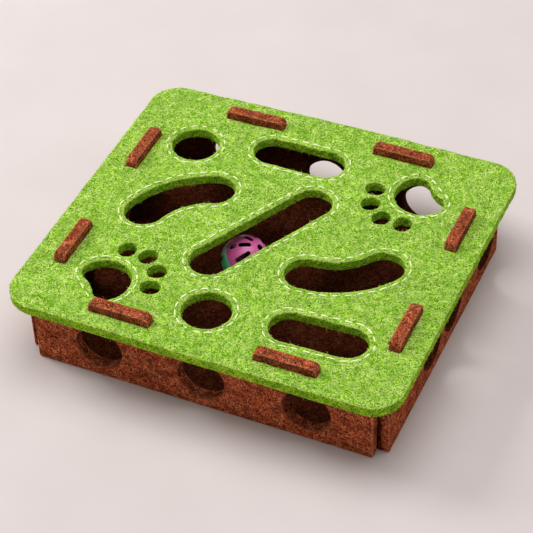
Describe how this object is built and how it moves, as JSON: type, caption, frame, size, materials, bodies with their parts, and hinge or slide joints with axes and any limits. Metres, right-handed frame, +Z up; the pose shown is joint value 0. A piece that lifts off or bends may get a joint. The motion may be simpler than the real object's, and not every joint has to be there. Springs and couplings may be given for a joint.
{
  "type": "interactive cat toy box",
  "caption": "Flat felt box with round paw holes in its walls and a lift-off lid cut with paw-print, round and curved openings, through which a cat bats a slotted bell ball that rolls inside.",
  "frame": {"origin": "on the ground under the middle of the lid", "axes": "+X along the front edge to the right, +Y to the back, +Z up"},
  "size_m": [0.33, 0.3, 0.077],
  "materials": {
    "brown_felt": "matte felt with short loose fibres",
    "lime_felt": "matte felt with pale fibres",
    "thread": "satin sewing thread",
    "pink_plastic": "glossy moulded",
    "teal_plastic": "glossy moulded",
    "bell_metal": "bright stamped"
  },
  "bodies": {
    "tray": {"floor_panel": "brown_felt", "front_wall": "brown_felt", "back_wall": "brown_felt", "left_wall": "brown_felt", "right_wall": "brown_felt"},
    "lid": {"lid_panel": "lime_felt", "seam_round_back": "thread", "seam_round_front": "thread", "seam_track_back": "thread", "seam_track_front": "thread", "seam_slant": "thread", "seam_bent_left": "thread", "seam_bent_right": "thread", "seam_pad_front": "thread", "seam_pad_back": "thread"},
    "bell": {"bell_cap": "bell_metal", "bell_cup": "bell_metal", "bell_pellet": "bell_metal"},
    "ball": {"ball_half_pink": "pink_plastic", "ball_half_teal": "teal_plastic"}
  },
  "joints": [
    {"name": "lid_lift", "type": "slide", "parent": "tray", "child": "lid", "axis": [0, 0, 1], "range_m": [0, 0.1]},
    {"name": "bell_travel", "type": "slide", "parent": "tray", "child": "bell", "axis": [0.4633, 0.8862, 0], "range_m": [-0.12, 0.104]},
    {"name": "ball_roll", "type": "hinge", "parent": "bell", "child": "ball", "pos_m": [-0.0234, 0.0025, 0.0299], "axis": [-0.8862, 0.4633, 0], "range_deg": [-345, 299]}
  ],
  "couplings": [
    {"joint": "ball_roll", "follows": "bell_travel", "rad_per_m": 50}
  ]
}
